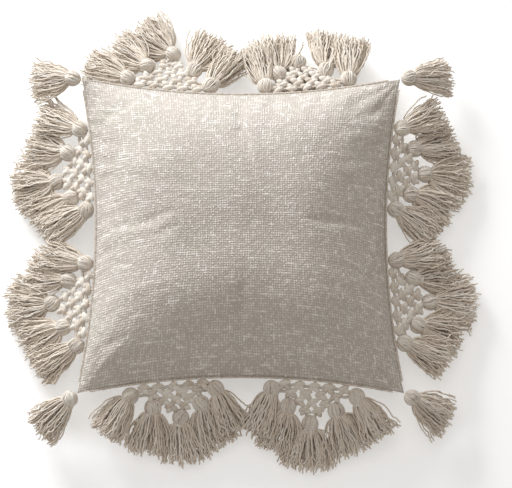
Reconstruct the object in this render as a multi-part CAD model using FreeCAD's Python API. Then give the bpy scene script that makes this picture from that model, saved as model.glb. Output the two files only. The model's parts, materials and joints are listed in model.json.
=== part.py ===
import FreeCAD, Part
import math
import os

# A square throw pillow that lies on its back. Its trim is a crocheted net in eight pointed scallops,
# two on each side. Five wound-yarn balls hang from each scallop and one from each corner, and every
# ball carries a tassel. The cover opens by a zip across its back, and holds a filled insert.
# The frame is in millimetres: +Z up, +Y towards the top edge, the origin at the centre of the flat
# patch that the back cover rests on.

Vector = FreeCAD.Vector
Rotation = FreeCAD.Rotation
Placement = FreeCAD.Placement
UP = Vector(0, 0, 1)

# ---- Driving dimensions: the cushion ----
half_span = 213.0        # middle of the cushion to a corner, along X and along Y
side_pull = 22.0         # how far the middle of each side pulls in behind the corners
seam_height = 52.0       # the seam above the surface that the pillow lies on
front_crown = 88.0       # the front's highest point above the seam
back_crown = 76.0        # the back's depth below the seam, before its own weight presses it flat
fullness = 0.85          # how much fuller than a parabola each crown is
cover_wall = 1.2
insert_setback = 20.0    # the insert's corners, in from the cover's, along X and along Y
insert_gap = 1.5         # between cover and insert at the middle of each crown
ticking_wall = 0.8
filling_gap = 0.5

# ---- Driving dimensions: the zip ----
zip_end_setback = 82.0   # each end of the zip, in from the cover's corners along X
zip_seam_distance = 33.0 # the zip, in from the middle of the bottom seam
zip_slope = 25.0         # degrees that the zip's flat band rises towards the bottom seam
band_margin = 1.5        # how far the band is pressed in at the zip tapes' corners
zip_slot = 8.0           # gap between the two back panels along the teeth
tape_width = 14.0
tape_wall = 0.6
tooth_pitch = 3.2
tooth_width = 1.5
tooth_depth = 2.2
tooth_height = 2.2
tooth_gap = 1.2          # between the two rows, where the slider's bridge runs
slider_length = 11.0
slider_width = 7.4
slider_plate = 0.8
slider_clearance = 0.3
bridge_wall = 0.7
pull_length = 22.0
pull_width = 5.0
pull_wall = 1.0
pull_hole_radius = 1.3
pull_clearance = 0.3
lug_wire_radius = 0.6
stop_length = 2.4
tape_end = 6.0           # of tape beyond the end stops

# ---- Driving dimensions: the trim ----
heading_radius = 1.2
heading_gap = 0.4        # between the seam and the heading
heading_end_gap = 16.0   # the heading stops this far before the corner
droop = 27.0             # degrees that each scallop slopes down from the seam
ball_radius = 11.5
knot_radius = 4.8
cord_radius = 2.0
ball_gap = 0.7           # between a ball and the knots it hangs beside
base_ball_clearance = 3.4  # between the heading and the base balls, whatever way they fold
knot_pitch = 19.5        # between knots along a row
first_row = 9.5          # the first row of knots, out from the seam
row_share = 1.0 / 4.75   # from row to row, as a share of the way from the first row to the point's ball
mid_ball_lay = 60.0      # degrees from straight out, from the third row's end knot to the mid ball
tassel_length = 52.0
tassel_neck_radius = 5.5
base_fan_half = 13.0     # the yarn fans out flat, most of all at the scallop's point
mid_fan_half = 19.0
point_fan_half = 26.0
corner_fan_half = 19.0
tassel_half_depth = 7.5
tassel_fit_gap = 0.3
neighbour_lay = 19.0     # degrees that the tassels of neighbouring scallops lean to each other, on average
neighbour_gap = 2.0      # between the tassels of neighbouring scallops
corner_reach = 12.5      # corner of the cover to the middle of the corner ball
corner_ball_radius = 11.0

# How the trim was laid out by hand. A side's outward direction is turned counter-clockwise from +X.
# Each scallop: its side, which half of the side it hangs on, how far it is off that half's even place,
# its point's lean along the side, its point's distance out, and the five tassels' directions in degrees
# from straight out, from one base ball to the other.
SIDE_TURN = {"right": 0.0, "top": 90.0, "left": 180.0, "bottom": 270.0}
SCALLOPS = {
    "right_upper": ("right", 1, 2.0, 0.0, 52.0, (-28, -17, -4, 24, 30)),
    "right_lower": ("right", -1, 0.0, 0.0, 56.0, (-30, -16, -3, 9, 9)),
    "top_left": ("top", 1, 8.0, 0.0, 62.0, (-30, -26, 58, 62, 72)),
    "top_right": ("top", -1, 1.0, 9.0, 50.0, (-9, -13, 180, 3, 10)),
    "left_upper": ("left", -1, -1.0, 9.0, 53.0, (-29, -18, 6, 25, 27)),
    "left_lower": ("left", 1, 4.0, -2.0, 56.0, (-12, -9, 3, 28, 38)),
    "bottom_left": ("bottom", -1, 1.0, 7.0, 47.0, (-40, -12, 5, 20, 22)),
    "bottom_right": ("bottom", 1, 7.0, -2.0, 54.0, (-15, -16, 4, 29, 37)),
}
# Each tassel's end, from one base ball to the other: the height that its middle lies at, half its width.
TASSEL_ENDS = ((28.0, base_fan_half), (14.0, mid_fan_half), (10.5, point_fan_half), (14.0, mid_fan_half),
               (28.0, base_fan_half))
CORNER_END = (27.0, corner_fan_half)
# Each corner: its signs along X and Y, its tassel's direction from +X, in degrees.
CORNERS = {
    "top_left": (-1, 1, 176.0),
    "top_right": (1, 1, 8.0),
    "bottom_left": (-1, -1, 220.0),
    "bottom_right": (1, -1, -30.0),
}


# ---- Cushion ----
def crown_poles(share_line, share_square, share_fourth, constant):
    """Poles on [-1, 1] of constant + line*u + square*u^2 + fourth*u^4, as a degree 4 Bezier."""
    line = (-1.0, -0.5, 0.0, 0.5, 1.0)
    square = (1.0, 0.0, -1.0 / 3.0, 0.0, 1.0)
    fourth = (1.0, -1.0, 1.0, -1.0, 1.0)
    return [constant + share_line * line[i] + share_square * square[i] + share_fourth * fourth[i]
            for i in range(5)]


def crown_face(span, height):
    """One crowned face: its sides pull in, and it meets the seam plane along all four."""
    pull = side_pull / half_span
    along = crown_poles(1.0, 0.0, 0.0, 0.0)
    pulled = crown_poles(0.0, pull, 0.0, 1.0 - pull)
    rise = crown_poles(0.0, fullness - 1.0, -fullness, 1.0)
    poles = [[Vector(span * along[i] * pulled[j],
                     span * pulled[i] * along[j],
                     seam_height + height * rise[i] * rise[j]) for j in range(5)] for i in range(5)]
    surface = Part.BSplineSurface()
    surface.buildFromPolesMultsKnots(poles, [5, 5], [5, 5], [-1.0, 1.0], [-1.0, 1.0], False, False, 4, 4)
    return surface.toShape()


def crown_share(place):
    """How high a crown stands, as a share of its height, across from one side (-1) to the other (1)."""
    return (1.0 - place ** 2) * (1.0 + fullness * place ** 2)


def back_height(x, y):
    """Height of the back below a point of the seam plane, before anything presses it flat."""
    pull = side_pull / half_span
    u, v = 0.0, 0.0
    for _ in range(20):
        u, v = x / half_span / (1.0 - pull * (1.0 - v * v)), y / half_span / (1.0 - pull * (1.0 - u * u))
    return seam_height - back_crown * crown_share(u) * crown_share(v)


zip_length = 2.0 * (half_span - zip_end_setback)
tape_half_length = zip_length / 2 + stop_length + tape_end
tape_half_spread = tooth_gap / 2 + tooth_depth + tape_width


def band_height(y):
    """Height at y of the flat band that reaches the back's surface at all four corners of the tapes."""
    slope = math.radians(zip_slope)
    reach = tape_half_spread * math.cos(slope)
    return band_margin + max(back_height(tape_half_length, y + offset) + offset * math.tan(slope)
                             for offset in (-reach, 0.0, reach))


def zip_placement():
    """The zip's own frame: X along it, Y up the slope towards the bottom seam, Z out of the cover."""
    y = side_pull + zip_seam_distance - half_span
    return Placement(Vector(0, y, band_height(y)), Rotation(Vector(1, 0, 0), 180.0 - zip_slope))


def beyond_band(inset):
    """What lies outside the flat band that the zip is sewn in, inset below its outer face."""
    reach = 2.0 * half_span
    block = Part.makeBox(reach, reach, half_span, Vector(-reach / 2, -reach / 2, -inset))
    block.Placement = zip_placement()
    return block


def cushion_solid(span, top, bottom, inset):
    """A crowned cushion that is flat where it rests, and along the band that holds the zip."""
    shell = Part.Shell([crown_face(span, top), crown_face(span, -bottom)])
    shell.sewShape()
    lens = Part.Solid(shell)
    if lens.Volume < 0:
        lens.reverse()
    reach = 3.0 * half_span
    above_rest = Part.makeBox(reach, reach, reach, Vector(-reach / 2, -reach / 2, inset))
    return lens.common(above_rest).cut(beyond_band(inset))


def inset_cushion(top_inset, bottom_inset, setback):
    """A cushion inside the cover's outer one: below its crown, above its rest, in from its corners."""
    return cushion_solid(half_span - setback, front_crown - top_inset, back_crown - bottom_inset,
                         bottom_inset)


def split_at_seam(shell):
    """The front and back halves of a shell, which meet on the seam plane."""
    reach = 3.0 * half_span
    above = Part.makeBox(reach, reach, reach, Vector(-reach / 2, -reach / 2, seam_height))
    return shell.common(above), shell.cut(above)


def cover_panels():
    edge_slope = math.atan2(front_crown * 2.0 * (1.0 + fullness), half_span)
    inner = inset_cushion(cover_wall, cover_wall, cover_wall / math.sin(edge_slope))
    shell = inset_cushion(0.0, 0.0, 0.0).cut(inner)
    front, back = split_at_seam(shell)
    slot = Part.makeBox(zip_length + 2 * stop_length + 4.0, zip_slot, 4 * cover_wall,
                        Vector(-zip_length / 2 - stop_length - 2.0, -zip_slot / 2, -2 * cover_wall))
    slot.Placement = zip_placement()
    reach = 3.0 * half_span
    seam_side = Part.makeBox(reach, reach, reach, Vector(-reach / 2, 0, -reach / 2))
    seam_side.Placement = zip_placement()
    back = back.cut(slot)
    return {"front_cover": front, "back_cover_upper": back.cut(seam_side),
            "back_cover_lower": back.common(seam_side)}


def insert_pieces():
    top = cover_wall + insert_gap
    bottom = cover_wall + tape_wall + tooth_height + slider_plate + slider_clearance
    outer = inset_cushion(top, bottom, insert_setback)
    inner = inset_cushion(top + ticking_wall, bottom + ticking_wall, insert_setback + ticking_wall)
    front, back = split_at_seam(outer.cut(inner))
    under_ticking = ticking_wall + filling_gap
    filling = inset_cushion(top + under_ticking, bottom + under_ticking, insert_setback + under_ticking)
    return {"insert_front_ticking": front, "insert_back_ticking": back, "insert_filling": filling}


# ---- Zip ----
def zip_box(length, width, height, corner):
    box = Part.makeBox(length, width, height, corner)
    box.Placement = zip_placement()
    return box


def zip_pieces():
    tape_top = -cover_wall
    tape_bottom = tape_top - tape_wall
    chain_middle = (tape_top + tape_bottom) / 2
    chain_top = chain_middle + tooth_height / 2
    chain_bottom = chain_middle - tooth_height / 2
    row_start = tooth_gap / 2
    tape_start = row_start + tooth_depth
    pieces = {}

    tooth_count = int(zip_length / tooth_pitch)
    for name, sign, shift in (("upper", -1, 0.0), ("lower", 1, 0.5)):
        low_y = min(sign * tape_start, sign * (tape_start + tape_width))
        pieces["zip_tape_" + name] = zip_box(2 * tape_half_length, tape_width, tape_wall,
                                             Vector(-tape_half_length, low_y, tape_bottom))
        low_y = min(sign * row_start, sign * tape_start)
        teeth = []
        for i in range(tooth_count):
            x = -zip_length / 2 + (i + shift) * tooth_pitch
            teeth.append(zip_box(tooth_width, tooth_depth, tooth_height, Vector(x, low_y, chain_bottom)))
        pieces["zip_teeth_" + name] = Part.makeCompound(teeth)

    stops = []
    for end in (-1, 1):
        x = end * (zip_length / 2 + stop_length) - (stop_length if end > 0 else 0.0)
        stops.append(zip_box(stop_length - 0.4, 2 * tape_start, tooth_height,
                             Vector(x + 0.2, -tape_start, chain_bottom)))
    pieces["zip_end_stops"] = Part.makeCompound(stops)

    slider_x = -zip_length / 2
    outer_face = chain_top + slider_clearance
    inner_face = chain_bottom - slider_clearance - slider_plate
    outer_plate = Part.makeBox(slider_length, slider_width, slider_plate,
                               Vector(slider_x, -slider_width / 2, outer_face))
    inner_plate = Part.makeBox(slider_length, slider_width, slider_plate,
                               Vector(slider_x, -slider_width / 2, inner_face))
    bridge = Part.makeBox(slider_length * 0.4, bridge_wall, outer_face - inner_face,
                          Vector(slider_x + slider_length * 0.6, -bridge_wall / 2, inner_face))
    lug = slider_lug(slider_x, outer_face + slider_plate)
    slider = outer_plate.fuse([inner_plate, bridge, lug]).removeSplitter()
    slider.Placement = zip_placement()
    pieces["zip_slider"] = slider
    pieces["zip_pull"] = zip_pull(slider_x, outer_face + slider_plate)
    return pieces


def pull_pivot(slider_x, face_z):
    """The point that the pull turns about: the crossbar of the slider's lug, along the zip's Y."""
    return Vector(slider_x + slider_length / 2, 0, face_z + pull_hole_radius + pull_wall + pull_clearance)


def slider_lug(slider_x, face_z):
    """A crossbar for the pull, held at both ends by a post."""
    pivot = pull_pivot(slider_x, face_z)
    half = slider_width / 2 - lug_wire_radius
    bar = Part.makeCylinder(lug_wire_radius, 2 * half, pivot - Vector(0, half, 0), Vector(0, 1, 0))
    posts = []
    for sign in (-1, 1):
        foot = Vector(pivot.x, sign * half, face_z - slider_plate / 2)
        posts.append(Part.makeCylinder(lug_wire_radius, pivot.z - foot.z, foot, UP))
        posts.append(Part.makeSphere(lug_wire_radius, Vector(pivot.x, sign * half, pivot.z)))
    return bar.fuse(posts)


def zip_pull(slider_x, face_z):
    """A flat tab that hangs on the crossbar by a round eye."""
    pivot = pull_pivot(slider_x, face_z)
    low = pivot.z - pull_wall / 2
    eye_radius = pull_hole_radius + pull_wall
    tab = Part.makeBox(pull_length, pull_width, pull_wall, Vector(pivot.x + eye_radius, -pull_width / 2, low))
    slim = [edge for edge in tab.Edges if abs(edge.tangentAt(edge.FirstParameter).z) > 0.99]
    tab = tab.makeFillet(pull_width * 0.35, slim)
    eye = Part.makeCylinder(eye_radius, pull_width * 0.6, pivot - Vector(0, pull_width * 0.3, 0), Vector(0, 1, 0))
    bore = Part.makeCylinder(pull_hole_radius, pull_width, pivot - Vector(0, pull_width / 2, 0), Vector(0, 1, 0))
    link = Part.makeBox(2 * pull_wall, pull_width * 0.6, pull_wall,
                        Vector(pivot.x + eye_radius - pull_wall, -pull_width * 0.3, low))
    pull = eye.fuse([link, tab]).cut(bore).removeSplitter()
    pull.Placement = zip_placement()
    return pull


# ---- Trim ----
def seam_out(along):
    """Distance of a side's seam from the middle of the cushion, at a place along that side."""
    return half_span - side_pull * (1.0 - (along / half_span) ** 2)


def side_placement(side):
    return Placement(Vector(0, 0, seam_height), Rotation(UP, SIDE_TURN[side]))


def heading_cord(side):
    """The crocheted heading: a round cord that follows the seam just outside it."""
    out = heading_gap + heading_radius
    end = half_span - heading_end_gap
    points = [Vector(seam_out(y) + out, y, 0) for y in (-end, 0.0, end)]
    arc = Part.Arc(*points).toShape()
    start_direction = arc.tangentAt(arc.FirstParameter)
    circle = Part.Circle(points[0], start_direction, heading_radius).toShape()
    cord = Part.Wire([arc]).makePipeShell([Part.Wire([circle])], True, True)
    cord.Placement = side_placement(side)
    return cord


base_ball_half = 2.0 * knot_pitch + knot_radius + ball_gap + ball_radius
base_ball_out = heading_gap + 2.0 * heading_radius + base_ball_clearance + ball_radius


def scallop_placement(name):
    """A scallop's frame: X straight out from the seam, Y along it, Z up, on the seam."""
    side, half, offset = SCALLOPS[name][:3]
    tassel_lean = (ball_radius + tassel_length) * math.sin(math.radians(neighbour_lay))
    middle = half * (base_ball_half + tassel_lean + base_fan_half + neighbour_gap / 2) + offset
    turn = -math.degrees(math.atan2(2.0 * side_pull * middle, half_span ** 2))
    local = Placement(Vector(seam_out(middle), middle, 0), Rotation(UP, turn))
    return side_placement(side).multiply(local)


def drooped(out, along):
    """A point of the scallop's sloping plane, out from the seam and along it."""
    slope = math.radians(droop)
    return Vector(out * math.cos(slope), along, -out * math.sin(slope))


def scallop_points(lean, reach):
    """The five balls from base to base, and the rows of knots that narrow towards the point."""
    spreads = ((-2.0, -1.0, 0.0, 1.0, 2.0), (-1.5, -0.5, 0.5, 1.5), (-0.87, 0.0, 0.87), (-0.46, 0.46))
    tip = reach / math.cos(math.radians(droop))
    ball_to_knot = ball_radius + ball_gap + knot_radius
    nearer_knot = spreads[-1][-1] * knot_pitch - abs(lean) * ball_to_knot / tip
    last_row_room = math.sqrt(ball_to_knot ** 2 - nearer_knot ** 2)
    row_step = min((tip - first_row) * row_share, (tip - first_row - last_row_room) / (len(spreads) - 1))

    rows = []
    for row, spread in enumerate(spreads):
        out = first_row + row * row_step
        rows.append([drooped(out, knot_pitch * place + lean * out / tip) for place in spread])
    out = ball_to_knot * math.cos(math.radians(mid_ball_lay))
    along = ball_to_knot * math.sin(math.radians(mid_ball_lay))
    balls = [drooped(base_ball_out, -base_ball_half), rows[2][0] + drooped(out, -along),
             drooped(tip, lean), rows[2][-1] + drooped(out, along), drooped(base_ball_out, base_ball_half)]
    return balls, rows


def cord_between(start, end, end_gap):
    run = end - start
    return Part.makeCylinder(cord_radius, run.Length - end_gap, start, run)


def knot(point):
    """A round knot, its poles square to the net and its seam towards the cushion, clear of the cords."""
    ball = Part.makeSphere(knot_radius)
    ball.Placement = Placement(point, Rotation(Vector(0, 1, 0), droop).multiply(Rotation(UP, 180.0)))
    return ball


def scallop_net(balls, rows):
    """One crocheted net: knots, and the cords that join them to each other and to the balls."""
    solids = [knot(point) for row in rows for point in row]
    for upper, lower in zip(rows, rows[1:]):
        for start in upper:
            for end in lower:
                if abs(start.y - end.y) < 0.75 * knot_pitch:
                    solids.append(cord_between(start, end, 0.0))
    ties = [(rows[0][0], balls[0]), (rows[1][0], balls[0]), (rows[2][0], balls[1]), (rows[3][0], balls[2]),
            (rows[3][-1], balls[2]), (rows[2][-1], balls[3]), (rows[1][-1], balls[4]), (rows[0][-1], balls[4])]
    for start, ball in ties:
        solids.append(cord_between(start, ball, ball_radius))
    return solids[0].fuse(solids[1:]).removeSplitter()


def tassel(ball, radius, turn, end_height, fan_half):
    """A fan of yarn below a ball, seated on it. Turn is about Z, its end lies at end_height."""
    length = radius + tassel_length
    sections = []
    for along, half_width, half_depth in (
            (0.6 * radius, tassel_neck_radius, tassel_neck_radius),
            (radius + 0.45 * tassel_length, 0.8 * fan_half, 0.9 * tassel_half_depth),
            (length, fan_half, tassel_half_depth)):
        oval = Part.Ellipse(Vector(0, 0, 0), half_width + 0.01, half_depth)
        wire = Part.Wire([oval.toShape()])
        wire.Placement = Placement(Vector(0, 0, along), Rotation(UP, 90.0))
        sections.append(wire)
    skirt = Part.makeLoft(sections, True, True)
    skirt = skirt.cut(Part.makeSphere(radius + tassel_fit_gap))
    fall = math.degrees(math.asin((ball.z - end_height) / length))
    skirt.Placement = Placement(ball, Rotation(UP, turn).multiply(Rotation(Vector(0, 1, 0), 90.0 + fall)))
    return skirt


def scallop_pieces(name):
    lean, reach, turns = SCALLOPS[name][3:]
    balls, rows = scallop_points(lean, reach)
    net = scallop_net(balls, rows)
    spheres = Part.makeCompound([Part.makeSphere(ball_radius, point) for point in balls])
    skirts = Part.makeCompound([tassel(point, ball_radius, turn, rest - seam_height, fan_half)
                                for point, turn, (rest, fan_half) in zip(balls, turns, TASSEL_ENDS)])
    pieces = {"net_" + name: net, "balls_" + name: spheres, "tassels_" + name: skirts}
    place = scallop_placement(name)
    for shape in pieces.values():
        shape.Placement = place.multiply(shape.Placement)
    return pieces


def corner_pieces(name):
    sign_x, sign_y, turn = CORNERS[name]
    direction = Rotation(UP, turn).multVec(Vector(1, 0, 0))
    centre = Vector(sign_x * half_span, sign_y * half_span, seam_height) + direction * corner_reach
    return {"corner_ball_" + name: Part.makeSphere(corner_ball_radius, centre),
            "corner_tassel_" + name: tassel(centre, corner_ball_radius, turn, *CORNER_END)}


def all_pieces():
    pieces = {}
    pieces.update(cover_panels())
    pieces.update(insert_pieces())
    pieces.update(zip_pieces())
    for side in SIDE_TURN:
        pieces["heading_" + side] = heading_cord(side)
    for name in SCALLOPS:
        pieces.update(scallop_pieces(name))
    for name in CORNERS:
        pieces.update(corner_pieces(name))
    return pieces


os.makedirs("parts", exist_ok=True)
for node, shape in all_pieces().items():
    shape.exportStep("parts/" + node + ".step")
    print(node, "solids", len(shape.Solids), "volume", round(shape.Volume), "valid", shape.isValid())
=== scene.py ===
# %% [markdown]
# # A stuffed throw pillow with crocheted scallops, yarn balls and tassels
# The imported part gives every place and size. Each cell below makes one finish or one piece around it.
# Everything is in metres, +Z up, with the pillow lying on its back.

import json
import math

import bmesh
import bpy
import numpy as np
from mathutils import Matrix, Vector, noise
from mathutils.bvhtree import BVHTree

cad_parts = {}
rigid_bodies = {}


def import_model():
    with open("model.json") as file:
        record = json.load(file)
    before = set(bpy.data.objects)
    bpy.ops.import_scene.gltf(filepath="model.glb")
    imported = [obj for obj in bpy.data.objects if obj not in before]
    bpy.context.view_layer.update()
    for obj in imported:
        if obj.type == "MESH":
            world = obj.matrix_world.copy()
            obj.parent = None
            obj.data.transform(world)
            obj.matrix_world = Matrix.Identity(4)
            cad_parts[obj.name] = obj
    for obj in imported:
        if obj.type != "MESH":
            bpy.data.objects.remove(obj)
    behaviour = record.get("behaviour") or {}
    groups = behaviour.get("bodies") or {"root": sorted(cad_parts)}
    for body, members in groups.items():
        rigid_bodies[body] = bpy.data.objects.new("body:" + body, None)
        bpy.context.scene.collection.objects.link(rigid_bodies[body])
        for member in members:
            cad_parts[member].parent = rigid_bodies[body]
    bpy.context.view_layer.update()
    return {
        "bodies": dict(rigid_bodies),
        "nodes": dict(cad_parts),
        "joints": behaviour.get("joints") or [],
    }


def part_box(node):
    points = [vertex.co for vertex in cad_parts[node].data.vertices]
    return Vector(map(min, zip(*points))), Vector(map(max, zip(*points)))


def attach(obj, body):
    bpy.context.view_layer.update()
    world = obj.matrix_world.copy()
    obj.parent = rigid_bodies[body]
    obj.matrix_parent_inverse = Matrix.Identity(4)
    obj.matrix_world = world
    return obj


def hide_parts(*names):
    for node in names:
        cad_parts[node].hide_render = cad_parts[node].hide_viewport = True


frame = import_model()
joints = {joint["name"]: joint for joint in frame["joints"]}
scallops = sorted(name[len("scallop_"):] for name in frame["bodies"] if name.startswith("scallop_"))
corners = sorted(name[len("corner_"):] for name in frame["bodies"] if name.startswith("corner_"))
print("scallops", scallops, "corners", corners)

# %% [markdown]
# ## Helpers for node trees
# A node tree can be clicked together or written. Written, it needs the same three moves again and again:
# add a node, give its sockets values or links, and take an output. Two short helpers do that for shader
# trees and geometry trees alike, so each recipe below reads like a list of steps.

# %% Node helpers
def put(tree, kind, inputs=(), **settings):
    """Adds a node. Inputs are values or other nodes' outputs, by position or by name."""
    made = tree.nodes.new(kind)
    for key, value in settings.items():
        setattr(made, key, value)
    for place, value in (inputs.items() if isinstance(inputs, dict) else enumerate(inputs)):
        if isinstance(value, bpy.types.NodeSocket):
            tree.links.new(value, made.inputs[place])
        elif value is not None:
            made.inputs[place].default_value = value
    return made


def calc(tree, operation, *values):
    return put(tree, "ShaderNodeMath", values, operation=operation).outputs[0]


def combine(tree, x, y, z):
    return put(tree, "ShaderNodeCombineXYZ", (x, y, z)).outputs[0]


def vector_calc(tree, operation, *values):
    return put(tree, "ShaderNodeVectorMath", values, operation=operation).outputs[0]


def mixed(tree, share, one, two):
    """A colour between two colours."""
    return put(tree, "ShaderNodeMix", {0: share, 6: one, 7: two}, data_type="RGBA").outputs[2]


def smooth_step(tree, value, low, high, start=0.0, end=1.0):
    return put(tree, "ShaderNodeMapRange", {0: value, 1: low, 2: high, 3: start, 4: end},
               interpolation_type="SMOOTHSTEP").outputs[0]


def colour(red, green, blue):
    return (red, green, blue, 1.0)


def new_material(name):
    material = bpy.data.materials.new(name)
    material.use_nodes = True
    material.node_tree.nodes.clear()
    return material, material.node_tree


def finish_material(tree, base, height, bump_distance, bump_strength, roughness, **constants):
    """The shader and the bump that end every finish. Constants are set on the shader's own sockets."""
    bump = put(tree, "ShaderNodeBump", {"Height": height, "Distance": bump_distance, "Strength": bump_strength})
    shader = put(tree, "ShaderNodeBsdfPrincipled", {"Base Color": base, "Roughness": roughness,
                                                    "Normal": bump.outputs[0]})
    for label, value in constants.items():
        shader.inputs[label.replace("_", " ")].default_value = value
    put(tree, "ShaderNodeOutputMaterial", {"Surface": shader.outputs[0]})


# %% [markdown]
# ## The slub cloth
# The cover is a coarse plain weave of cotton and linen. Its yarns are uneven: each one swells here and
# there into a slub, a thick soft length that stands up and catches the light, and that light is painted
# into the colour as a paler tone, a painted highlight. A picture of cloth would be quick, but it blurs up
# close. Here every warp and weft yarn is worked out from the piece's UV map, which is in metres of cloth,
# so that each yarn swells in its own places and passes over and under its neighbours, and the weave follows
# the crown of the cushion. The low places of the weave, the gaps and the yarns where they dip under, are
# given a darker colour: painted shade.

# %% Weave finish
def weave_material(name, pale, shade, pitch, slub_length, bump_distance):
    material, tree = new_material(name)
    place = put(tree, "ShaderNodeSeparateXYZ", {0: put(tree, "ShaderNodeUVMap", uv_map="cloth").outputs[0]})
    across, along = place.outputs[0], place.outputs[1]
    wander = put(tree, "ShaderNodeTexNoise", {"Vector": combine(tree, across, along, 0.0), "Scale": 60.0,
                                              "Detail": 1.0}).outputs[0]
    wander = calc(tree, "MULTIPLY", calc(tree, "SUBTRACT", wander, 0.5), 0.003)
    sets = []
    for step, (crosswise, lengthwise) in enumerate(((across, along), (along, across))):
        place_in_set = calc(tree, "DIVIDE", calc(tree, "ADD", crosswise, wander), pitch)
        yarn = calc(tree, "FLOOR", place_in_set)
        profile = calc(tree, "COSINE", calc(tree, "MULTIPLY", calc(tree, "SUBTRACT", calc(
            tree, "SUBTRACT", place_in_set, yarn), 0.5), math.pi))
        weaving = calc(tree, "COSINE", calc(tree, "MULTIPLY", calc(tree, "ADD", calc(
            tree, "ADD", calc(tree, "DIVIDE", calc(tree, "ADD", lengthwise, wander), pitch), yarn), step - 0.5), math.pi))
        lift = calc(tree, "MULTIPLY_ADD", weaving, 0.46, 0.54)
        own = combine(tree, calc(tree, "DIVIDE", lengthwise, slub_length * (1.0 if step else 0.6)),
                      calc(tree, "MULTIPLY", yarn, 3.71), 4.0 * step)
        swelling = put(tree, "ShaderNodeTexNoise", {"Vector": own, "Scale": 1.0, "Detail": 1.0}).outputs[0]
        slub = smooth_step(tree, swelling, 0.58 if step else 0.64, 0.72)
        thin = smooth_step(tree, swelling, 0.30, 0.48, -0.25, 0.0)
        short = combine(tree, calc(tree, "DIVIDE", lengthwise, 0.0055), calc(tree, "MULTIPLY", yarn, 5.13),
                        4.0 * step + 20.0)
        uneven = put(tree, "ShaderNodeTexNoise", {"Vector": short, "Scale": 1.0, "Detail": 0.0}).outputs[0]
        thickness = calc(tree, "ADD", calc(tree, "MULTIPLY_ADD", slub, 0.6, 0.45), thin)
        thickness = calc(tree, "ADD", thickness, smooth_step(tree, uneven, 0.25, 0.75, 0.0, 1.1))
        sets.append((calc(tree, "MULTIPLY", calc(tree, "MULTIPLY", profile, lift), thickness), slub))
    height = calc(tree, "MAXIMUM", sets[0][0], sets[1][0])
    knot = put(tree, "ShaderNodeTexNoise", {"Vector": combine(tree, calc(tree, "DIVIDE", across, pitch), calc(
        tree, "DIVIDE", along, pitch), 9.0), "Scale": 0.62, "Detail": 0.0}).outputs[0]
    height = calc(tree, "MULTIPLY", height, smooth_step(tree, knot, 0.28, 0.72, 0.72, 1.32))
    slub_highlight = calc(tree, "MULTIPLY", calc(tree, "MAXIMUM", sets[0][1], sets[1][1]), height)
    where = put(tree, "ShaderNodeTexCoord").outputs["Object"]
    fibre = put(tree, "ShaderNodeTexNoise", {"Vector": where, "Scale": 900.0, "Detail": 2.0}).outputs[0]
    patches = put(tree, "ShaderNodeTexNoise", {"Vector": where, "Scale": 22.0, "Detail": 3.0}).outputs[0]
    # Painted shade: the low places of the weave, the gaps and the yarns where they dip under, get the darker colour.
    # Painted highlight: the slubs are mixed towards a paler colour.
    base = mixed(tree, smooth_step(tree, height, 0.3, 1.35), shade, pale)
    base = mixed(tree, calc(tree, "MULTIPLY", slub_highlight, 0.75), base, colour(0.92, 0.89, 0.84))
    rosy = tuple(c * k for c, k in zip(pale, (1.0, 0.955, 0.95, 1.0)))
    leafy = tuple(c * k for c, k in zip(pale, (0.95, 0.965, 0.93, 1.0)))
    base = mixed(tree, 0.18, base, mixed(tree, smooth_step(tree, patches, 0.4, 0.62), rosy, leafy))
    total = calc(tree, "MULTIPLY_ADD", fibre, 0.25, height)
    finish_material(tree, base, total, bump_distance, 0.75, 0.92, Sheen_Weight=0.12, Sheen_Roughness=0.5,
                    Specular_IOR_Level=0.25)
    return material


# Each cloth's second colour is the painted shade given to the low places of its weave.
slub_cloth = weave_material("slub_cloth", colour(0.80, 0.755, 0.705), colour(0.47, 0.425, 0.37), 0.0036,
                            0.028, 0.00082)
ticking = weave_material("ticking", colour(0.86, 0.85, 0.82), colour(0.6, 0.59, 0.56), 0.0007, 0.03, 0.0003)
tape_weave = weave_material("zip_tape", colour(0.68, 0.63, 0.55), colour(0.42, 0.38, 0.32), 0.0009, 0.02,
                            0.0003)
print("woven finishes made")

# %% [markdown]
# ## The yarns
# Balls, tassels and crochet are soft cotton yarn. Each strand has its own tone, from cream to tan, which
# is kept on the mesh as an attribute called shade. The attribute also carries painted shade: strands deep
# inside a tassel, the balls' cores and the heading's chain are given darker tones. Fine noise across each
# strand stands for its fibres.

# %% Yarn finishes
def yarn_material(name, pale, middle, deep, fuzz):
    material, tree = new_material(name)
    tone = put(tree, "ShaderNodeAttribute", attribute_name="shade").outputs["Fac"]
    where = put(tree, "ShaderNodeTexCoord").outputs["Object"]
    patch = put(tree, "ShaderNodeTexNoise", {"Vector": where, "Scale": 240.0, "Detail": 2.0}).outputs[0]
    fibre = put(tree, "ShaderNodeTexNoise", {"Vector": where, "Scale": 1500.0, "Detail": 2.0}).outputs[0]
    level = calc(tree, "ADD", tone, calc(tree, "MULTIPLY", calc(tree, "SUBTRACT", patch, 0.5), 0.7))
    base = mixed(tree, smooth_step(tree, level, 0.0, 0.55), deep, middle)
    base = mixed(tree, smooth_step(tree, level, 0.5, 1.05), base, pale)
    finish_material(tree, base, calc(tree, "ADD", fibre, patch), 0.0006, fuzz, 0.95, Sheen_Weight=0.2,
                    Sheen_Roughness=0.55, Specular_IOR_Level=0.2)
    return material


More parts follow.
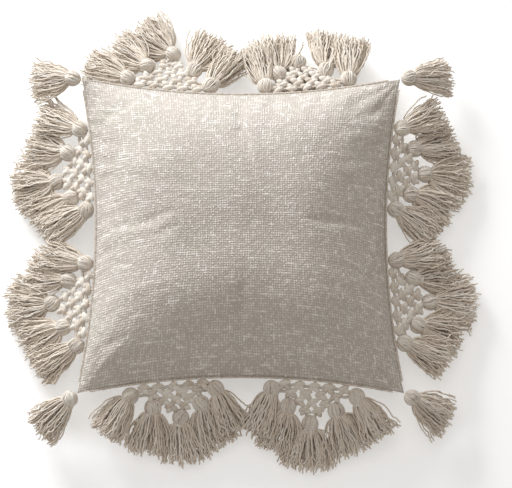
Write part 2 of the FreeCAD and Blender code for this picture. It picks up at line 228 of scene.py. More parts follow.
tassel_yarn = yarn_material("tassel_yarn", colour(0.885, 0.82, 0.735), colour(0.815, 0.73, 0.63),
                            colour(0.64, 0.54, 0.44), 0.5)
ball_yarn = yarn_material("ball_yarn", colour(0.87, 0.82, 0.75), colour(0.77, 0.70, 0.62),
                          colour(0.58, 0.49, 0.40), 0.6)
net_cord = yarn_material("net_cord", colour(0.86, 0.81, 0.74), colour(0.76, 0.69, 0.61),
                         colour(0.57, 0.48, 0.39), 0.6)
filling_fibre = yarn_material("filling", colour(0.88, 0.88, 0.87), colour(0.83, 0.83, 0.82),
                              colour(0.7, 0.7, 0.69), 0.8)
sewing_thread = yarn_material("sewing_thread", colour(0.74, 0.69, 0.62), colour(0.66, 0.6, 0.53),
                              colour(0.5, 0.44, 0.38), 0.3)
print("yarn finishes made")


# %% Zip finishes
def moulded_material(name, pale, dark, grain, roughness, metallic):
    material, tree = new_material(name)
    where = put(tree, "ShaderNodeTexCoord").outputs["Object"]
    speckle = put(tree, "ShaderNodeTexNoise", {"Vector": where, "Scale": grain, "Detail": 3.0}).outputs[0]
    worn = put(tree, "ShaderNodeTexNoise", {"Vector": where, "Scale": 90.0, "Detail": 4.0}).outputs[0]
    base = mixed(tree, smooth_step(tree, worn, 0.35, 0.7), dark, pale)
    rough = smooth_step(tree, speckle, 0.3, 0.7, roughness - 0.08, roughness + 0.08)
    finish_material(tree, base, speckle, 0.0002, 0.25, rough, Metallic=metallic, Coat_Weight=0.1)
    return material


zip_plastic = moulded_material("zip_plastic", colour(0.72, 0.67, 0.58), colour(0.6, 0.55, 0.47), 1800.0,
                               0.42, 0.0)
zip_metal = moulded_material("zip_metal", colour(0.62, 0.57, 0.48), colour(0.45, 0.41, 0.35), 2600.0, 0.34, 0.6)
print("zip finishes made")

# %% [markdown]
# ## Reading places from the part
# Nothing below guesses where a piece goes. The trim's solids are taken apart into loose ones, so that each
# ball gives its middle and its radius, and each tassel its direction, its length and how wide it fans out.

# %% Loose solids
def loose_solids(node):
    """The separate solids of a CAD node, each as an array of its points."""
    work = bmesh.new()
    work.from_mesh(frame["nodes"][node].data)
    bmesh.ops.remove_doubles(work, verts=work.verts, dist=1e-5)
    work.verts.ensure_lookup_table()
    seen = [False] * len(work.verts)
    groups = []
    for start in work.verts:
        if seen[start.index]:
            continue
        seen[start.index] = True
        queue, found = [start], []
        while queue:
            point = queue.pop()
            found.append(point.co[:])
            for edge in point.link_edges:
                other = edge.other_vert(point)
                if not seen[other.index]:
                    seen[other.index] = True
                    queue.append(other)
        groups.append(np.array(found))
    work.free()
    return groups


def read_balls(node):
    return [((points.min(0) + points.max(0)) / 2, float(np.ptp(points[:, 0]) / 2))
            for points in loose_solids(node)]


def read_tassels(node, balls):
    """For each tassel: its ball, the way it points, its length, its fan's half width and half depth."""
    found = []
    for points in loose_solids(node):
        middle, radius = min(balls, key=lambda ball: np.linalg.norm(points - ball[0], axis=1).min())
        way = points.mean(0) - middle
        for _ in range(8):
            way = way / np.linalg.norm(way)
            side = np.cross(way, (0.0, 0.0, 1.0))
            side = side / np.linalg.norm(side)
            up = np.cross(side, way)
            reach = (points - middle) @ way
            outer = points[reach > 0.6 * reach.max()] - middle
            sideways, upwards = (outer @ side) / (outer @ way), (outer @ up) / (outer @ way)
            spread, depth = np.ptp(outer @ side) / 2, np.ptp(outer @ up) / 2
            way = way + side * (sideways.max() + sideways.min()) / 2 + up * (upwards.max() + upwards.min()) / 2
        found.append({"ball": middle, "radius": radius, "way": way, "side": side, "length": float(reach.max()),
                      "spread": float(spread), "depth": float(depth)})
    return found


trim = {}
for name in scallops:
    balls = read_balls("balls_" + name)
    trim[name] = {"body": "scallop_" + name, "balls": balls, "tassels": read_tassels("tassels_" + name, balls)}
for name in corners:
    balls = read_balls("corner_ball_" + name)
    trim["corner_" + name] = {"body": "corner_" + name, "balls": balls,
                              "tassels": read_tassels("corner_tassel_" + name, balls)}
print("tassels", sum(len(group["tassels"]) for group in trim.values()))

# %% [markdown]
# ## Geometry Nodes: a tree that is built once and used for every ball and tassel
# A tassel is about a hundred strands of one yarn, so a rule makes it: points become lines, each line is
# bent by its own random numbers, and a small circle is swept along it. The strands' shape could be combed
# by hand as hair, but a tree keeps it the same on every run, and its inputs are the real sizes. The result
# is made a plain mesh before it gets its place.

# %% Tree helpers
def new_tree(name, inputs):
    """A geometry tree with one input for each (name, kind, value)."""
    tree = bpy.data.node_groups.new(name, "GeometryNodeTree")
    tree.interface.new_socket("Geometry", in_out="INPUT", socket_type="NodeSocketGeometry")
    for label, kind, value in inputs:
        socket = tree.interface.new_socket(label, in_out="INPUT", socket_type="NodeSocket" + kind)
        if value is not None:
            socket.default_value = value
    tree.interface.new_socket("Geometry", in_out="OUTPUT", socket_type="NodeSocketGeometry")
    return tree, tree.nodes.new("NodeGroupInput").outputs


def end_tree(tree, geometry, material):
    """Realize Instances and Set Material, which end every tree here."""
    real = put(tree, "GeometryNodeRealizeInstances", {0: geometry}).outputs[0]
    smooth = put(tree, "GeometryNodeSetShadeSmooth", {0: real}).outputs[0]
    painted = put(tree, "GeometryNodeSetMaterial", {"Geometry": smooth, "Material": material}).outputs[0]
    tree.links.new(painted, tree.nodes.new("NodeGroupOutput").inputs[0])


def grown(name, tree, values, source=None):
    """A plain mesh object from a tree with these input values."""
    mesh = source or bpy.data.meshes.new(name)
    carrier = bpy.data.objects.new(name + "_carrier", mesh)
    bpy.context.scene.collection.objects.link(carrier)
    modifier = carrier.modifiers.new("Grow", "NODES")
    modifier.node_group = tree
    known = {item.name: item.identifier for item in tree.interface.items_tree if item.in_out == "INPUT"}
    for label, value in values.items():
        modifier[known[label]] = value
    graph = bpy.context.evaluated_depsgraph_get()
    baked = bpy.data.meshes.new_from_object(carrier.evaluated_get(graph), preserve_all_data_layers=True,
                                            depsgraph=graph)
    carrier.modifiers.clear()
    bpy.data.objects.remove(carrier)
    baked.name = name
    made = bpy.data.objects.new(name, baked)
    bpy.context.scene.collection.objects.link(made)
    return made


def joined(objects, name):
    """Several mesh objects as one."""
    first = objects[0]
    if len(objects) > 1:
        with bpy.context.temp_override(active_object=first, object=first, selected_objects=objects,
                                       selected_editable_objects=objects):
            bpy.ops.object.join()
    first.name = name
    first.data.name = name
    return first


def random_of(tree, index, seed, step, low=0.0, high=1.0):
    """A random number for each strand."""
    own_seed = calc(tree, "ADD", seed, float(step))
    return put(tree, "FunctionNodeRandomValue", {2: low, 3: high, 7: index, 8: own_seed}).outputs[1]


def strand_lines(tree, count, segments):
    """As many lines as strands, with each line's number and the place along it from 0 to 1."""
    points = put(tree, "GeometryNodePoints", {0: count}).outputs[0]
    line = put(tree, "GeometryNodeCurvePrimitiveLine").outputs[0]
    line = put(tree, "GeometryNodeResampleCurve", {"Curve": line, "Count": segments}).outputs[0]
    lines = put(tree, "GeometryNodeInstanceOnPoints", {"Points": points, "Instance": line}).outputs[0]
    lines = put(tree, "GeometryNodeRealizeInstances", {0: lines}).outputs[0]
    number = put(tree, "GeometryNodeInputIndex").outputs[0]
    number = put(tree, "GeometryNodeFieldOnDomain", {0: number}, data_type="INT", domain="CURVE").outputs[0]
    return lines, number, put(tree, "GeometryNodeSplineParameter").outputs[0]


def swept(tree, lines, radius, sides, tone):
    """Strands with a thickness, their tone kept as the attribute shade."""
    lines = put(tree, "GeometryNodeStoreNamedAttribute", {"Geometry": lines, "Name": "shade", "Value": tone},
                data_type="FLOAT", domain="POINT").outputs[0]
    ring = put(tree, "GeometryNodeCurvePrimitiveCircle", {"Resolution": sides, "Radius": radius}).outputs[0]
    return put(tree, "GeometryNodeCurveToMesh", {"Curve": lines, "Profile Curve": ring,
                                                 "Fill Caps": True}).outputs[0]


def wobble(tree, number, along, seed, waves, size):
    """A soft random offset along each strand, different on every one."""
    where = combine(tree, calc(tree, "MULTIPLY", along, waves), calc(tree, "MULTIPLY", number, 3.917), seed)
    field = put(tree, "ShaderNodeTexNoise", {"Vector": where, "Scale": 1.0, "Detail": 1.0}).outputs[1]
    return vector_calc(tree, "MULTIPLY", vector_calc(tree, "SUBTRACT", field, (0.5, 0.5, 0.5)),
                       combine(tree, size, size, size))


# %% [markdown]
# ## Tassels
# Each tassel hangs from its ball by a narrow neck and opens into a flat, uneven fan of crimped yarn. A
# few strands stray. Local Z runs out along the tassel, X across its fan and Y through its thickness.

# %% Tassel tree
def tassel_tree():
    tree, given = new_tree("tassel", [
        ("Ball Radius", "Float", 0.0115), ("Length", "Float", 0.0635), ("Neck", "Float", 0.006),
        ("Half Width", "Float", 0.02), ("Half Depth", "Float", 0.0075), ("Strands", "Int", 100),
        ("Yarn Radius", "Float", 0.0008), ("Seed", "Int", 1)])
    lines, number, along = strand_lines(tree, given["Strands"], 22)
    seed = given["Seed"]
    turn = calc(tree, "MULTIPLY", random_of(tree, number, seed, 1), 2 * math.pi)
    share = calc(tree, "POWER", random_of(tree, number, seed, 2), 0.45)
    over = calc(tree, "MULTIPLY", calc(tree, "COSINE", turn), share)
    through = calc(tree, "MULTIPLY", calc(tree, "SINE", turn), share)
    opening = calc(tree, "POWER", along, 0.5)
    stray = calc(tree, "GREATER_THAN", random_of(tree, number, seed, 3), 0.94)

    def spread(start, end):
        return calc(tree, "ADD", start, calc(tree, "MULTIPLY", opening, calc(tree, "SUBTRACT", end, start)))

    y = spread(calc(tree, "MULTIPLY", through, given["Neck"]),
               calc(tree, "MULTIPLY", through, given["Half Depth"]))
    root = calc(tree, "MULTIPLY", given["Ball Radius"], 0.55)
    cut = random_of(tree, number, seed, 4, 0.86, 1.02)
    reach = calc(tree, "SUBTRACT", calc(tree, "MULTIPLY", given["Length"], cut), root)
    widest = calc(tree, "ARCTAN2", calc(tree, "SUBTRACT", given["Half Width"], given["Neck"]),
                  calc(tree, "SUBTRACT", given["Length"], root))
    unruly = calc(tree, "GREATER_THAN", random_of(tree, number, seed, 8), 0.86)
    widest = calc(tree, "MULTIPLY", widest, calc(tree, "MULTIPLY_ADD", unruly, 0.7, 1.25))
    leaning = calc(tree, "MULTIPLY", over, widest)
    x = calc(tree, "ADD", calc(tree, "MULTIPLY", over, given["Neck"]), calc(
        tree, "MULTIPLY", calc(tree, "MULTIPLY", reach, opening), calc(tree, "SINE", leaning)))
    z = calc(tree, "ADD", root, calc(
        tree, "MULTIPLY", calc(tree, "MULTIPLY", reach, along), calc(tree, "COSINE", leaning)))
    free = calc(tree, "POWER", along, 0.8)
    lock = calc(tree, "FLOOR", calc(tree, "MULTIPLY", random_of(tree, number, seed, 5), 16.0))
    curl = wobble(tree, lock, along, calc(tree, "ADD", seed, 0.5), 1.6,
                  calc(tree, "MULTIPLY", free, calc(tree, "MULTIPLY_ADD", stray, 0.02, 0.019)))
    bend = wobble(tree, number, along, calc(tree, "ADD", seed, 30.5), 4.0, calc(tree, "MULTIPLY", free, 0.0085))
    crimp = wobble(tree, number, along, calc(tree, "ADD", seed, 70.5), 12.0, calc(tree, "MULTIPLY", free, 0.0062))
    offset = vector_calc(tree, "ADD", vector_calc(tree, "ADD", curl, bend), crimp)
    offset = vector_calc(tree, "MULTIPLY", offset, (1.0, 0.6, 0.7))
    place = vector_calc(tree, "ADD", combine(tree, x, y, z), offset)
    lines = put(tree, "GeometryNodeSetPosition", {"Geometry": lines, "Position": place}).outputs[0]
    # Painted shade: strands in the middle of the fan's thickness get a darker tone than those on its faces. On top of
    # a random tone, every strand is also a little darker towards the ball and paler at its tip.
    tone = calc(tree, "MULTIPLY_ADD", random_of(tree, number, seed, 6), 0.75, calc(
        tree, "MULTIPLY", calc(tree, "ABSOLUTE", through), 0.3))
    tone = calc(tree, "ADD", tone, calc(tree, "MULTIPLY", calc(tree, "SUBTRACT", along, 0.5), 0.12))
    end_tree(tree, swept(tree, lines, given["Yarn Radius"], 4, tone), tassel_yarn)
    return tree


tassels_of_yarn = tassel_tree()


# %% Grow the tassels
def place_on(obj, middle, way, side):
    """Moves a mesh made along local Z to its middle, its Z along way and its X along side."""
    z = Vector(way).normalized()
    x = Vector(side).normalized()
    y = z.cross(x)
    turn = Matrix((x, y, z)).transposed().to_4x4()
    obj.data.transform(Matrix.Translation(Vector(middle)) @ turn)


def keep_above_floor(obj, lowest):
    """Strands that would pass the floor lie on it instead."""
    mesh = obj.data
    places = np.empty(len(mesh.vertices) * 3)
    mesh.vertices.foreach_get("co", places)
    places = places.reshape(-1, 3)
    low = places[:, 2] < lowest
    places[low, 2] = lowest + (lowest - places[low, 2]) * 0.15
    mesh.vertices.foreach_set("co", places.ravel())
    mesh.update()


strand_count = 138
tassel_seed = 0
for key, group in trim.items():
    grown_tassels = []
    for tassel in group["tassels"]:
        tassel_seed += 1
        one = grown("tassel", tassels_of_yarn, {
            "Ball Radius": tassel["radius"], "Length": tassel["length"], "Neck": 0.7 * tassel["radius"],
            "Half Width": 1.4 * tassel["spread"] + (-0.002 if key.startswith("corner_") else 0.004), "Half Depth": 1.3 * tassel["depth"],
            "Strands": strand_count,
            "Yarn Radius": 0.00095, "Seed": tassel_seed})
        place_on(one, tassel["ball"], tassel["way"], tassel["side"])
        grown_tassels.append(one)
    corner = key.startswith("corner_")
    node = key.replace("corner_", "corner_tassel_") if corner else "tassels_" + key
    piece = joined(grown_tassels, node + "_yarn")
    keep_above_floor(piece, 0.0009)
    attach(piece, group["body"])
    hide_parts(node)
    group["tassel_piece"] = piece
print("strands a tassel", strand_count, "faces in one scallop's tassels",
      len(trim[scallops[0]]["tassel_piece"].data.polygons))

# %% [markdown]
# ## Wound balls
# Each ball is a bulb of parallel yarn that runs over it from the net to its tassel, and a tie of a few
# turns closes its neck. Some are wound crosswise. The strands are swept lines, which keep their furrows
# from every side, round a plain core that no light passes; the core is given the darkest tone, a painted shade.

# %% Ball tree
def ball_tree():
    tree, given = new_tree("wound_ball", [
        ("Radius", "Float", 0.0115), ("Strands", "Int", 46), ("Yarn Radius", "Float", 0.00105),
        ("Skew", "Float", 0.5), ("Seed", "Int", 1)])
    lines, number, along = strand_lines(tree, given["Strands"], 13)
    seed = given["Seed"]
    polar = calc(tree, "MULTIPLY", math.pi, calc(tree, "MULTIPLY_ADD", along, 0.93, 0.035))
    round_about = calc(tree, "MULTIPLY", calc(tree, "DIVIDE", number, given["Strands"]), 2 * math.pi)
    drift = put(tree, "ShaderNodeTexNoise", {"Vector": combine(tree, calc(tree, "MULTIPLY", along, 2.5), calc(
        tree, "MULTIPLY", number, 0.31), seed), "Scale": 1.0}).outputs[0]
    round_about = calc(tree, "ADD", round_about, calc(tree, "MULTIPLY", calc(tree, "SUBTRACT", along, 0.5), given["Skew"]))
    round_about = calc(tree, "ADD", round_about, calc(tree, "MULTIPLY", calc(tree, "SUBTRACT", drift, 0.5), 0.9))
    lift = random_of(tree, number, seed, 1, -0.0011, 0.0002)
    reach = calc(tree, "SUBTRACT", calc(tree, "ADD", given["Radius"], lift), calc(
        tree, "MULTIPLY", given["Yarn Radius"], 0.9))
    flat = calc(tree, "MULTIPLY", reach, calc(tree, "SINE", polar))
    place = combine(tree, calc(tree, "MULTIPLY", flat, calc(tree, "COSINE", round_about)),
                    calc(tree, "MULTIPLY", flat, calc(tree, "SINE", round_about)),
                    calc(tree, "MULTIPLY", calc(tree, "MULTIPLY", reach, -1.04), calc(tree, "COSINE", polar)))
    lines = put(tree, "GeometryNodeSetPosition", {"Geometry": lines, "Position": place}).outputs[0]
    yarns = swept(tree, lines, given["Yarn Radius"], 5, random_of(tree, number, seed, 2, 0.2, 1.0))
    core = put(tree, "GeometryNodeMeshUVSphere", {"Segments": 16, "Rings": 10, "Radius": calc(
        tree, "SUBTRACT", given["Radius"], 0.0022)}).outputs[0]
    # Painted shade: the core gets the darkest tone, for the depths between the strands.
    core = put(tree, "GeometryNodeStoreNamedAttribute", {"Geometry": core, "Name": "shade", "Value": 0.1},
               data_type="FLOAT", domain="POINT").outputs[0]
    tie = put(tree, "GeometryNodeCurveSpiral", {"Resolution": 14, "Rotations": 4.0, "Start Radius": calc(
        tree, "MULTIPLY", given["Radius"], 0.52), "End Radius": calc(
        tree, "MULTIPLY", given["Radius"], 0.5), "Height": 0.0034}).outputs[0]
    tie = put(tree, "GeometryNodeTransform", {"Geometry": tie, "Translation": combine(
        tree, 0.0, 0.0, calc(tree, "MULTIPLY", given["Radius"], 0.88))}).outputs[0]
    ties = swept(tree, tie, 0.0007, 5, 0.75)
    whole = tree.nodes.new("GeometryNodeJoinGeometry")
    for part in (yarns, core, ties):
        tree.links.new(part, whole.inputs[0])
    end_tree(tree, whole.outputs[0], ball_yarn)
    return tree


wound_ball = ball_tree()


# %% Wind the balls
def winding_axis(tassel, turned):
    """The way a ball's yarn runs: along its tassel, or tilted by this angle about its up direction."""
    up = np.cross(tassel["side"], tassel["way"])
    return tassel["way"] * math.cos(turned) + tassel["side"] * math.sin(turned) * 0.9 + up * math.sin(turned) * 0.4


ball_seed = 0
for key, group in trim.items():
    wound = []
    for tassel in group["tassels"]:
        ball_seed += 1
        one = grown("ball", wound_ball, {"Radius": tassel["radius"], "Strands": 44,
                                         "Skew": 0.9 * math.sin(2.4 * ball_seed), "Seed": ball_seed})
        way = winding_axis(tassel, (0.0, 0.15, 0.0, 0.5, -0.2, 0.0, -0.6)[ball_seed % 7])
        side = np.cross(way, np.cross(tassel["side"], way))
        place_on(one, tassel["ball"], way, side)
        wound.append(one)
    corner = key.startswith("corner_")
    node = key.replace("corner_", "corner_ball_") if corner else "balls_" + key
    piece = joined(wound, node + "_yarn")
    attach(piece, group["body"])
    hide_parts(node)
print("balls wound", ball_seed)

# %% [markdown]
# ## Crocheted nets
# A net starts from the seam as five puffs, then four, three and two, and ends at the point's ball. Each
# puff is three plump leaves of the cord, and twisted cords join the puffs and tie the balls on. The part
# gives the scallop's frame by its hinge; the rows repeat the part's own rule in that frame.

# %% One puff of three leaves
def leaf(work, length, width, centre, turn, tilt, segments, rings):
    """A plump leaf with pointed ends along local Y."""
    made = bmesh.ops.create_uvsphere(work, u_segments=segments, v_segments=rings, radius=1.0,
                                     matrix=Matrix.Rotation(math.pi / 2, 4, "X"))["verts"]
    for point in made:
        x, y, z = point.co
        swell = 1.0 + 0.10 * math.cos(3.0 * math.atan2(z, x) + 4.0 * y)
        slim = (1.0 - 0.35 * abs(y) ** 3) * swell
        point.co = Vector((x * width / 2 * slim, y * length / 2 * (1.0 + 0.12 * y * y), z * width / 2 * slim))
    place = (Matrix.Translation(Vector(centre)) @ Matrix.Rotation(math.radians(turn), 4, "Z")
             @ Matrix.Rotation(math.radians(tilt), 4, "X"))
    bmesh.ops.transform(work, matrix=place, verts=made)


def leaves_object(name, leaves, segments, rings):
    work = bmesh.new()
    for length, width, centre, turn, tilt in leaves:
        leaf(work, length, width, centre, turn, tilt, segments, rings)
    bmesh.ops.recalc_face_normals(work, faces=work.faces)
    mesh = bpy.data.meshes.new(name)
    work.to_mesh(mesh)
    work.free()
    made = bpy.data.objects.new(name, mesh)
    bpy.context.scene.collection.objects.link(made)
    return made


puff = leaves_object("puff", (
    (0.0145, 0.0080, (-0.0020, -0.0006, 0.0003), 12.0, 3.0),
    (0.0108, 0.0076, (0.0028, 0.0026, 0.0008), -38.0, 6.0),
    (0.0102, 0.0072, (0.0026, -0.0034, -0.0006), 46.0, -5.0)), 12, 8)
chain_link = leaves_object("chain_link", (
    (0.0036, 0.0016, (-0.0003, 0.0, 0.0), 22.0, 0.0), (0.0036, 0.0016, (0.0004, 0.0006, 0.0), -22.0, 0.0)), 8, 5)
print("puff faces", len(puff.data.polygons), "link faces", len(chain_link.data.polygons))


# %% Net tree
def net_tree():
    tree, given = new_tree("crocheted_net", [
        ("Puff", "Object", None), ("Cord Radius", "Float", 0.0022), ("Sag", "Float", 0.0012),
        ("Turn", "Rotation", None), ("Seed", "Int", 1)])
    shape = put(tree, "GeometryNodeObjectInfo", {"Object": given["Puff"]}).outputs["Geometry"]
    number = put(tree, "GeometryNodeInputIndex").outputs[0]
    held = put(tree, "GeometryNodeInputNamedAttribute", {"Name": "puff"}, data_type="FLOAT").outputs[0]
    spin = combine(tree, random_of(tree, number, given["Seed"], 1, -0.18, 0.18),
                   random_of(tree, number, given["Seed"], 2, -0.15, 0.15),
                   random_of(tree, number, given["Seed"], 3, -0.4, 0.4))
    spin = put(tree, "FunctionNodeEulerToRotation", {0: spin}).outputs[0]
    turn = put(tree, "FunctionNodeRotateRotation", {0: given["Turn"], 1: spin}, rotation_space="LOCAL").outputs[0]
    size = random_of(tree, number, given["Seed"], 4, 0.93, 1.1)
    puffs = put(tree, "GeometryNodeInstanceOnPoints", {
        "Points": given["Geometry"], "Selection": calc(tree, "GREATER_THAN", held, 0.5), "Instance": shape,
        "Rotation": turn, "Scale": combine(tree, size, size, size)}).outputs[0]
    puffs = put(tree, "GeometryNodeRealizeInstances", {0: puffs}).outputs[0]
    island = put(tree, "GeometryNodeInputMeshIsland").outputs[0]
    puffs = put(tree, "GeometryNodeStoreNamedAttribute", {"Geometry": puffs, "Name": "shade", "Value": random_of(
        tree, island, given["Seed"], 5, 0.25, 1.0)}, data_type="FLOAT", domain="POINT").outputs[0]
    edges = put(tree, "GeometryNodeSplitEdges", {0: given["Geometry"]}).outputs[0]
    cords = put(tree, "GeometryNodeMeshToCurve", {0: edges}).outputs[0]
    cords = put(tree, "GeometryNodeResampleCurve", {"Curve": cords, "Count": 7}).outputs[0]
    along = put(tree, "GeometryNodeSplineParameter").outputs[0]
    bow = calc(tree, "MULTIPLY", calc(tree, "SINE", calc(tree, "MULTIPLY", along, math.pi)), given["Sag"])
    cords = put(tree, "GeometryNodeSetPosition", {"Geometry": cords, "Offset": combine(
        tree, 0.0, 0.0, calc(tree, "MULTIPLY", bow, -1.0))}).outputs[0]
    cords = put(tree, "GeometryNodeSetCurveTilt", {"Curve": cords, "Tilt": calc(
        tree, "MULTIPLY", along, 5.5)}).outputs[0]
    cords = put(tree, "GeometryNodeStoreNamedAttribute", {"Geometry": cords, "Name": "shade", "Value": 0.45},
                data_type="FLOAT", domain="POINT").outputs[0]
    ring = put(tree, "GeometryNodeCurvePrimitiveCircle", {"Resolution": 9, "Radius": given["Cord Radius"]}).outputs[0]
    at = put(tree, "GeometryNodeInputPosition").outputs[0]
    place = put(tree, "GeometryNodeInputIndex").outputs[0]
    ply = calc(tree, "MULTIPLY_ADD", calc(tree, "COSINE", calc(tree, "MULTIPLY", place, 2 * math.pi / 3)), 0.16, 1.0)
    ring = put(tree, "GeometryNodeSetPosition", {"Geometry": ring, "Position": vector_calc(
        tree, "MULTIPLY", at, combine(tree, ply, ply, ply))}).outputs[0]
    cords = put(tree, "GeometryNodeCurveToMesh", {"Curve": cords, "Profile Curve": ring,
                                                  "Fill Caps": True}).outputs[0]
    whole = tree.nodes.new("GeometryNodeJoinGeometry")
    tree.links.new(puffs, whole.inputs[0])
    tree.links.new(cords, whole.inputs[0])
    end_tree(tree, whole.outputs[0], net_cord)
    return tree


crocheted_net = net_tree()

# %% Crochet the nets
first_row, knot_pitch, row_count = 0.0095, 0.0195, 4.75
row_places = ((-2.0, -1.0, 0.0, 1.0, 2.0), (-1.5, -0.5, 0.5, 1.5), (-0.87, 0.0, 0.87), (-0.46, 0.46))
for number, name in enumerate(scallops):
    hinge = joints["fold_" + name]
    start = Vector(hinge["pos_m"])
    seam_way = -Vector(hinge["axis"])
    out_way = seam_way.cross(Vector((0, 0, 1)))
    balls = [Vector(middle) for middle, radius in trim[name]["balls"]]
    local = [((ball - start).dot(out_way), (ball - start).dot(seam_way), (ball - start).z) for ball in balls]
    order = sorted(range(5), key=lambda i: local[i][1])
    point_ball = max(range(5), key=lambda i: local[i][0])
    out, lean, drop = local[point_ball]
    tip = math.hypot(out, drop)
    slope = (out_way * out + Vector((0, 0, 1)) * drop).normalized()
    rows = []
    for row, places in enumerate(row_places):
        reach = first_row + row * (tip - first_row) / row_count
        rows.append([start + slope * reach + seam_way * (knot_pitch * place + lean * reach / tip)
                     for place in places])
    points = [point for row in rows for point in row]
    starts = [0, 5, 9, 12]
    pairs = []
    for row in range(3):
        for i, one in enumerate(rows[row]):
            for j, two in enumerate(rows[row + 1]):
                if abs((one - two).dot(seam_way)) < 0.75 * knot_pitch:
                    pairs.append((starts[row] + i, starts[row + 1] + j))
    low, high = [i for i in order if i != point_ball][:2], [i for i in order if i != point_ball][2:]
    ties = [(0, low[0]), (5, low[0]), (9, low[1]), (12, point_ball), (13, point_ball), (11, high[0]),
            (8, high[1]), (4, high[1])]
    guide = bpy.data.meshes.new("guide")
    seam_feet = [point - slope * (first_row - 0.001) for point in rows[0]]
    places = points + balls + seam_feet
    edges = pairs + [(knot, len(points) + ball) for knot, ball in ties]
    edges += [(i, len(points) + len(balls) + i) for i in range(5)]
    edges += [(i, i + 1) for i in range(4)]
    guide.from_pydata(places, edges, [])
    flag = guide.attributes.new("puff", "FLOAT", "POINT")
    flag.data.foreach_set("value", [1.0] * len(points) + [0.0] * (len(balls) + len(seam_feet)))
    turn = Matrix((slope, seam_way, slope.cross(seam_way))).transposed().to_euler()
    net = grown("net_" + name + "_crochet", crocheted_net, {
        "Puff": puff, "Cord Radius": 0.0021, "Turn": turn, "Seed": 40 + number}, guide)
    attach(net, "scallop_" + name)
    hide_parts("net_" + name)
print("puffs a net", len(points), "net faces", len(net.data.polygons))


# %% Ties at the corners
for number, name in enumerate(corners):
    hinge = joints["swing_corner_" + name]
    ball = Vector(trim["corner_" + name]["balls"][0][0])
    way = (ball - Vector(hinge["pos_m"])).normalized()
    seam_end = Vector(hinge["pos_m"]) + way * 0.0026
    guide = bpy.data.meshes.new("guide")
    guide.from_pydata([seam_end, ball], [(0, 1)], [])
    flag = guide.attributes.new("puff", "FLOAT", "POINT")
    flag.data.foreach_set("value", [0.0, 0.0])
    tie = grown("corner_tie_" + name, crocheted_net, {
        "Puff": puff, "Cord Radius": 0.0019, "Sag": 0.0, "Seed": 70 + number}, guide)
    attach(tie, "corner_" + name)
print("corner ties", len(corners))

# %% [markdown]
# ## The cushion's form
# The cover is two squares of cloth sewn edge to edge and stuffed, so that its sides pull in between the
# corners. A grid of cloth is laid over the part's own surface, from above for the front and from below
# for the back, with the seam's points shared. The grid keeps warp and weft square to the seams, which a
# remesh would lose, and it carries the UV map that the weave reads.

# %% Grids over the part's surface
def skin_of(nodes):
    points, faces = [], []
    for node in nodes:
        mesh = frame["nodes"][node].data
        start = len(points)
        points += [point.co.copy() for point in mesh.vertices]
        faces += [[start + i for i in face.vertices] for face in mesh.polygons]
    return BVHTree.FromPolygons(points, faces)


def surface_heights(skin, xs, ys, from_above):
    """Where lines straight down, or up, first meet a surface; where they miss, the height is left empty.
    Gaps are bridged from their surroundings.
    """
    z, way = (1.0, -1.0) if from_above else (-1.0, 1.0)
    heights = np.full(xs.shape, np.nan)
    for i in range(xs.shape[0]):
        for j in range(xs.shape[1]):
            hit = skin.ray_cast(Vector((xs[i, j], ys[i, j], z)), Vector((0, 0, way)))[0]
            if hit is not None:
                heights[i, j] = hit.z
    return heights


def bridged(heights):
    gaps = np.isnan(heights)
    filled = np.where(gaps, np.nanmean(heights), heights)
    for _ in range(400):
        padded = np.pad(filled, 1, mode="edge")
        around = (padded[2:, 1:-1] + padded[:-2, 1:-1] + padded[1:-1, 2:] + padded[1:-1, :-2]) / 4
        filled = np.where(gaps, around, filled)
    return filled


def cushion_grid(name, front_nodes, back_nodes, count, cut_half):
    """A closed cushion: a front and a back grid that share the seam, with UVs in metres of cloth."""
    low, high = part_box(front_nodes[0])
    half_span, seam = high.x, low.z
    front_skin, back_skin = skin_of(front_nodes), skin_of(back_nodes)
    side = front_skin.ray_cast(Vector((1, 0, seam + 0.0003)), Vector((-1, 0, 0)))[0].x
    pull = 1.0 - side / half_span
    share = np.linspace(-1.0, 1.0, count + 1)
    u, v = np.meshgrid(share, share, indexing="ij")
    xs = half_span * u * (1 - pull * (1 - v ** 2))
    ys = half_span * v * (1 - pull * (1 - u ** 2))
    edge = (np.abs(u) > 0.9999) | (np.abs(v) > 0.9999)
    layers = []
    for skin, from_above in ((front_skin, True), (back_skin, False)):
        heights = surface_heights(skin, xs, ys, from_above)
        heights[edge] = seam
        layers.append(bridged(heights))
    work = bmesh.new()
    uv_layer = work.loops.layers.uv.new("cloth")
    front = [[work.verts.new((xs[i, j], ys[i, j], layers[0][i, j])) for j in range(count + 1)]
             for i in range(count + 1)]
    back = [[front[i][j] if edge[i, j] else work.verts.new((xs[i, j], ys[i, j], layers[1][i, j]))
             for j in range(count + 1)] for i in range(count + 1)]
    for grid, outward in ((front, 1), (back, -1)):
        for i in range(count):
            for j in range(count):
                around = [(i, j), (i + 1, j), (i + 1, j + 1), (i, j + 1)][::outward]
                face = work.faces.new([grid[a][b] for a, b in around])
                face.smooth = True
                face.material_index = 0 if outward > 0 else 1
                for loop, (a, b) in zip(face.loops, around):
                    loop[uv_layer].uv = (outward * u[a, b] * cut_half, v[a, b] * cut_half)
    mesh = bpy.data.meshes.new(name)
    work.to_mesh(mesh)
    work.free()
    made = bpy.data.objects.new(name, mesh)
    bpy.context.scene.collection.objects.link(made)
    print(name, "points", len(mesh.vertices), "half span", round(half_span, 4), "side", round(side, 4))
    return made, half_span


back_nodes = ["back_cover_upper", "back_cover_lower"]
cover, half_span = cushion_grid("cover", ["front_cover"], back_nodes, 88, 0.2285)

